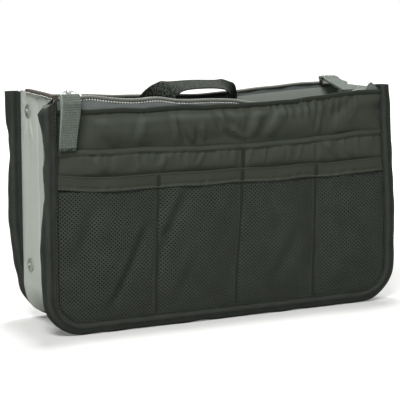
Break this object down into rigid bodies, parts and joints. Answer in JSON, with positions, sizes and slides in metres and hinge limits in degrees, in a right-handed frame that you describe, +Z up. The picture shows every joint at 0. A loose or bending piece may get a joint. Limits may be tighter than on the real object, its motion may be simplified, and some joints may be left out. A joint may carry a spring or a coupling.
{
  "type": "purse organizer insert",
  "caption": "Folding fabric organizer insert for a handbag: two pocketed walls with zips along their tops, joined by snap-fastened end gussets and a folding base, with webbing handles.",
  "frame": {"origin": "on the floor, under the middle of the bounding box", "axes": "+X along the length to the right as the front is seen, -Y out of the front wall, +Z up"},
  "size_m": [0.3, 0.0763, 0.179],
  "materials": {
    "shell_nylon": "woven charcoal nylon with a slight sheen",
    "binding_tape": "black ribbed binding tape",
    "mesh_net": "dark polyester mesh",
    "lining_nylon": "light grey woven nylon",
    "webbing": "mid grey ribbed webbing",
    "zip_tape": "slate grey woven zip tape",
    "zip_teeth": "grey nylon zip teeth",
    "zip_metal": "silver plated metal",
    "snap_metal": "silver plated metal",
    "stiffener_board": "pale plastic sheet"
  },
  "bodies": {
    "front_wall": {"front_shell": "shell_nylon", "front_stiffener": "stiffener_board", "front_lining": "lining_nylon", "front_binding": "binding_tape", "front_slip_pocket": "shell_nylon", "front_slip_hem": "shell_nylon", "front_low_pocket": "mesh_net", "front_low_hem": "mesh_net", "front_zip_outer_tape": "zip_tape", "front_zip_inner_tape": "zip_tape", "front_zip_chain": "zip_teeth", "front_zip_stop": "zip_metal", "front_zip_tail": "zip_teeth", "front_handle_left_foot": "webbing", "front_handle_right_foot": "webbing", "left_corner": "lining_nylon", "right_corner": "lining_nylon"},
    "left_gusset_front": {"left_gusset_front": "lining_nylon", "left_front_snap_upper": "snap_metal", "left_front_snap_lower": "snap_metal"},
    "left_gusset_back": {"left_gusset_back": "lining_nylon", "left_back_snap_upper": "snap_metal", "left_back_snap_lower": "snap_metal"},
    "right_gusset_front": {"right_gusset_front": "lining_nylon", "right_front_snap_upper": "snap_metal", "right_front_snap_lower": "snap_metal"},
    "right_gusset_back": {"right_gusset_back": "lining_nylon", "right_back_snap_upper": "snap_metal", "right_back_snap_lower": "snap_metal"},
    "base_front": {"base_front": "lining_nylon"},
    "base_back": {"base_back": "lining_nylon"},
    "back_wall": {"back_shell": "shell_nylon", "back_stiffener": "stiffener_board", "back_lining": "lining_nylon", "back_binding": "binding_tape", "back_slip_pocket": "shell_nylon", "back_slip_hem": "shell_nylon", "back_low_pocket": "shell_nylon", "back_low_hem": "shell_nylon", "back_zip_outer_tape": "zip_tape", "back_zip_inner_tape": "zip_tape", "back_zip_chain": "zip_teeth", "back_zip_stop": "zip_metal", "back_zip_tail": "zip_teeth", "back_handle_left_foot": "webbing", "back_handle_right_foot": "webbing"},
    "front_zip_slider": {"front_zip_slider": "zip_metal"},
    "front_zip_pull": {"front_zip_ring": "zip_metal", "front_zip_tab": "webbing"},
    "back_zip_slider": {"back_zip_slider": "zip_metal"},
    "back_zip_pull": {"back_zip_ring": "zip_metal", "back_zip_tab": "webbing"},
    "front_handle": {"front_handle": "webbing"},
    "back_handle": {"back_handle": "webbing"}
  },
  "joints": [
    {"name": "left_front_root", "type": "hinge", "parent": "front_wall", "child": "left_gusset_front", "pos_m": [-0.1382, -0.03, 0.1], "axis": [0, 0, -1], "range_deg": [0, 75]},
    {"name": "depth_fold", "type": "hinge", "parent": "left_gusset_front", "child": "left_gusset_back", "pos_m": [-0.1392, 0, 0.1], "axis": [0, 0, 1], "range_deg": [0, 150], "deforming": ["left_corner", "right_corner", "front_zip_tail", "back_zip_tail"]},
    {"name": "left_back_root", "type": "hinge", "parent": "left_gusset_back", "child": "back_wall", "pos_m": [-0.1382, 0.03, 0.1], "axis": [0, 0, -1], "range_deg": [0, 75]},
    {"name": "right_front_root", "type": "hinge", "parent": "front_wall", "child": "right_gusset_front", "pos_m": [0.1382, -0.03, 0.1], "axis": [0, 0, 1], "range_deg": [0, 75]},
    {"name": "right_crease", "type": "hinge", "parent": "right_gusset_front", "child": "right_gusset_back", "pos_m": [0.1392, 0, 0.1], "axis": [0, 0, -1], "range_deg": [0, 150]},
    {"name": "base_front_root", "type": "hinge", "parent": "front_wall", "child": "base_front", "pos_m": [0, -0.03, 0.0118], "axis": [1, 0, 0], "range_deg": [0, 75]},
    {"name": "base_crease", "type": "hinge", "parent": "base_front", "child": "base_back", "pos_m": [0, 0, 0.0108], "axis": [-1, 0, 0], "range_deg": [0, 150]},
    {"name": "front_zip_slide", "type": "slide", "parent": "front_wall", "child": "front_zip_slider", "axis": [1, 0, 0], "range_m": [0, 0.245]},
    {"name": "front_pull_swing", "type": "hinge", "parent": "front_zip_slider", "child": "front_zip_pull", "pos_m": [-0.1286, -0.03235, 0.1768], "axis": [-1, 0, 0], "range_deg": [0, 120]},
    {"name": "back_zip_slide", "type": "slide", "parent": "back_wall", "child": "back_zip_slider", "axis": [-1, 0, 0], "range_m": [0, 0.245], "deforming": ["back_zip_tab"]},
    {"name": "back_pull_swing", "type": "hinge", "parent": "back_zip_slider", "child": "back_zip_pull", "pos_m": [0.1286, 0.03235, 0.1768], "axis": [-1, 0, 0], "range_deg": [-10, 110]},
    {"name": "front_handle_swing", "type": "hinge", "parent": "front_wall", "child": "front_handle", "pos_m": [0, -0.0288, 0.1583], "axis": [-1, 0, 0], "range_deg": [-170, 0]},
    {"name": "back_handle_swing", "type": "hinge", "parent": "back_wall", "child": "back_handle", "pos_m": [0, 0.0296, 0.1583], "axis": [-1, 0, 0], "range_deg": [-45, 10]}
  ],
  "couplings": [
    {"joint": "left_front_root", "follows": "depth_fold", "ratio": 0.5},
    {"joint": "left_back_root", "follows": "depth_fold", "ratio": 0.5},
    {"joint": "right_front_root", "follows": "depth_fold", "ratio": 0.5},
    {"joint": "right_crease", "follows": "depth_fold", "ratio": 1},
    {"joint": "base_front_root", "follows": "depth_fold", "ratio": 0.5},
    {"joint": "base_crease", "follows": "depth_fold", "ratio": 1}
  ]
}
